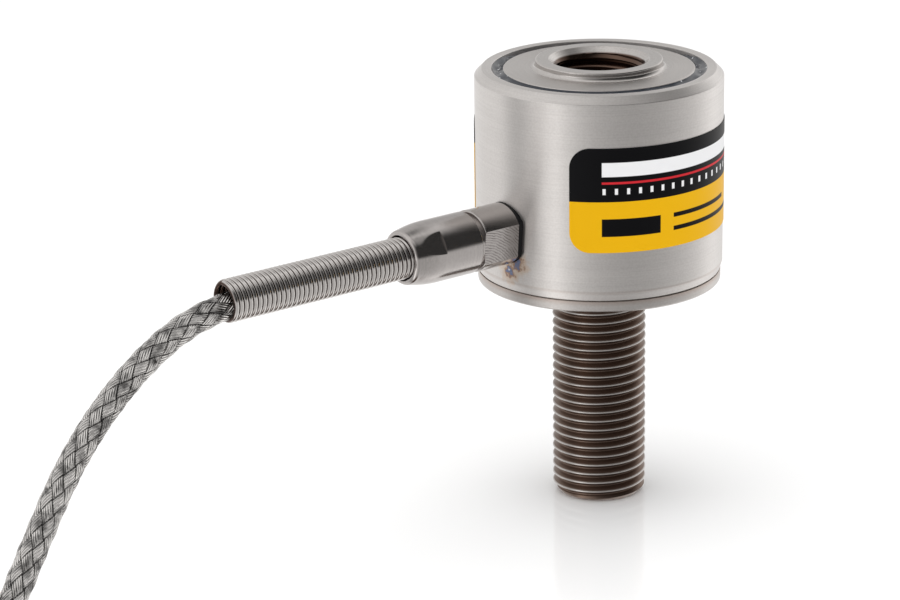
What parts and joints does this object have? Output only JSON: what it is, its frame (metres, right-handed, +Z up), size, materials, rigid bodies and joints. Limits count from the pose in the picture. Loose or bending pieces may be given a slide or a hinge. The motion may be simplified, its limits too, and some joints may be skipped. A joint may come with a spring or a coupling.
{
  "type": "rod end load cell",
  "caption": "In-line force sensor with a male stud below, a female thread on top, a round shell and a side gland with a spring strain relief for its braided cable.",
  "frame": {"origin": "centre of the stud's lower end face", "axes": "+Z up along the load axis from the stud to the female thread; the cable gland points along -X"},
  "size_m": [0.1795, 0.0564, 0.0609],
  "materials": {
    "turned_steel": "turned stainless steel, fine machining lines",
    "shell_steel": "satin stainless steel, fine horizontal grain",
    "gland_steel": "turned stainless steel, glossy",
    "spring_steel": "bright drawn wire",
    "cable_braid": "flat metal braid",
    "black_sealant": "glossy black sealant",
    "black_rubber": "smooth black rubber",
    "label_film": "printed film, black over yellow",
    "gauge_foil": "amber film with foil grid",
    "board_green": "solder mask",
    "solder": "bright solder",
    "resistor_black": "matt ceramic",
    "copper_wire": "enamelled copper",
    "red_insulation": "smooth wire insulation",
    "black_insulation": "smooth wire insulation",
    "green_insulation": "smooth wire insulation",
    "white_insulation": "smooth wire insulation"
  },
  "bodies": {
    "root": {"male_stud": "turned_steel", "sensing_element": "turned_steel", "outer_shell": "shell_steel", "top_seal": "black_sealant", "front_label": "label_film", "rear_label": "label_film", "gland_body": "gland_steel", "gland_nut": "gland_steel", "gland_gasket": "black_rubber", "cable_bush": "black_rubber", "clamp_washer": "gland_steel", "relief_spring": "spring_steel", "strain_gauge_1": "gauge_foil", "strain_gauge_2": "gauge_foil", "strain_gauge_3": "gauge_foil", "strain_gauge_4": "gauge_foil", "bridge_board": "board_green", "solder_pads": "solder", "balance_resistor": "resistor_black", "span_resistor": "resistor_black", "conductor_red": "red_insulation", "conductor_black": "black_insulation", "conductor_green": "green_insulation", "conductor_white": "white_insulation", "jumper_wires": "copper_wire", "cable_inner": "cable_braid", "cable_run": "cable_braid", "cable_coil": "cable_braid", "coil_tie": "black_rubber", "cable_tail": "cable_braid", "end_sleeve": "black_rubber", "lead_red": "red_insulation", "lead_black": "black_insulation", "lead_green": "green_insulation", "lead_white": "white_insulation"}
  },
  "joints": []
}
